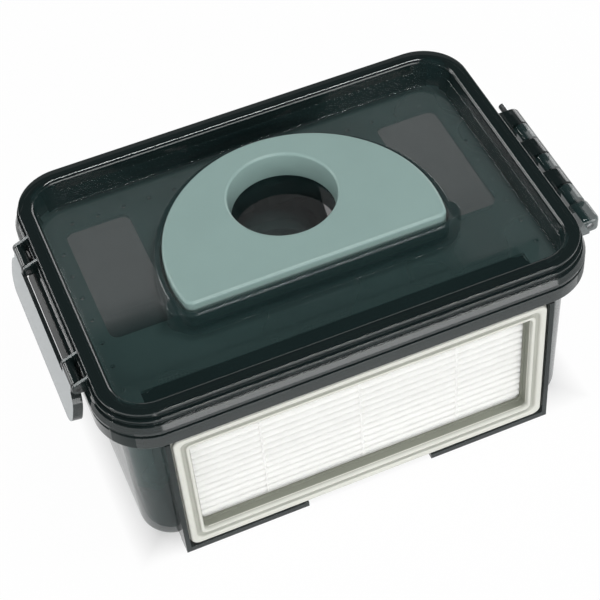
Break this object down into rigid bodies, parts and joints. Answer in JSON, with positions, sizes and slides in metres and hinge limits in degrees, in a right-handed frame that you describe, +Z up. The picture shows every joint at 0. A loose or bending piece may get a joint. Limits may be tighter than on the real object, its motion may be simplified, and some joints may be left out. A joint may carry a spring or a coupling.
{
  "type": "vacuum cleaner filter box",
  "caption": "Clear smoky filter box of a canister vacuum cleaner with a hinged lid, soft inlet pad, side latch and slide-in pleated cassette filter.",
  "frame": {"origin": "centre of the rim's outline in plan, at the tub's flat underside that rests on the table", "axes": "+X from the latch to the hinge, +Y from the cassette at the front to the back, +Z up"},
  "size_m": [0.2845, 0.18, 0.1176],
  "materials": {
    "smoky_clear": "clear smoky, polished",
    "smoky_dark": "dark smoky, polished",
    "smoky_insert": "smoky, satin",
    "screen_mesh": "fine woven screen",
    "black_rubber": "soft black rubber",
    "pad_rubber": "smooth grey-green soft rubber",
    "pin_steel": "plain steel",
    "clear_flap": "clear, slightly frosted by reflections",
    "frame_white": "off-white moulded plastic",
    "seal_white": "off-white soft rubber",
    "pleated_paper": "white pleated filter paper",
    "glue_white": "hot-melt glue",
    "grey_foam": "grey foam strip"
  },
  "bodies": {
    "box": {"tub": "smoky_clear", "filter_holder": "smoky_dark", "separator_insert": "smoky_insert", "window_screens": "screen_mesh", "inlet_ring_seal": "black_rubber", "inlet_deflector": "smoky_insert", "hinge_pin": "pin_steel"},
    "lid": {"lid": "smoky_clear", "lid_gasket": "black_rubber", "inlet_seal": "pad_rubber", "inlet_tube": "smoky_insert", "tube_lock_ring": "smoky_dark", "latch_pins": "pin_steel"},
    "flap": {"latch_flap": "clear_flap"},
    "cassette": {"cassette_frame": "frame_white", "cassette_front_seal": "seal_white", "cassette_media": "pleated_paper", "glue_beads": "glue_white", "cassette_rear_grid": "frame_white", "cassette_rear_seal": "grey_foam"}
  },
  "joints": [
    {"name": "lid_hinge", "type": "hinge", "parent": "box", "child": "lid", "pos_m": [0.1385, -0.009, 0.1012], "axis": [0, 1, 0], "range_deg": [0, 100]},
    {"name": "latch_hinge", "type": "hinge", "parent": "lid", "child": "flap", "pos_m": [-0.1326, -0.0025, 0.1105], "axis": [0, 1, 0], "range_deg": [-6, 100]},
    {"name": "cassette_slide", "type": "slide", "parent": "box", "child": "cassette", "axis": [0, -1, 0], "range_m": [0, 0.06]}
  ]
}
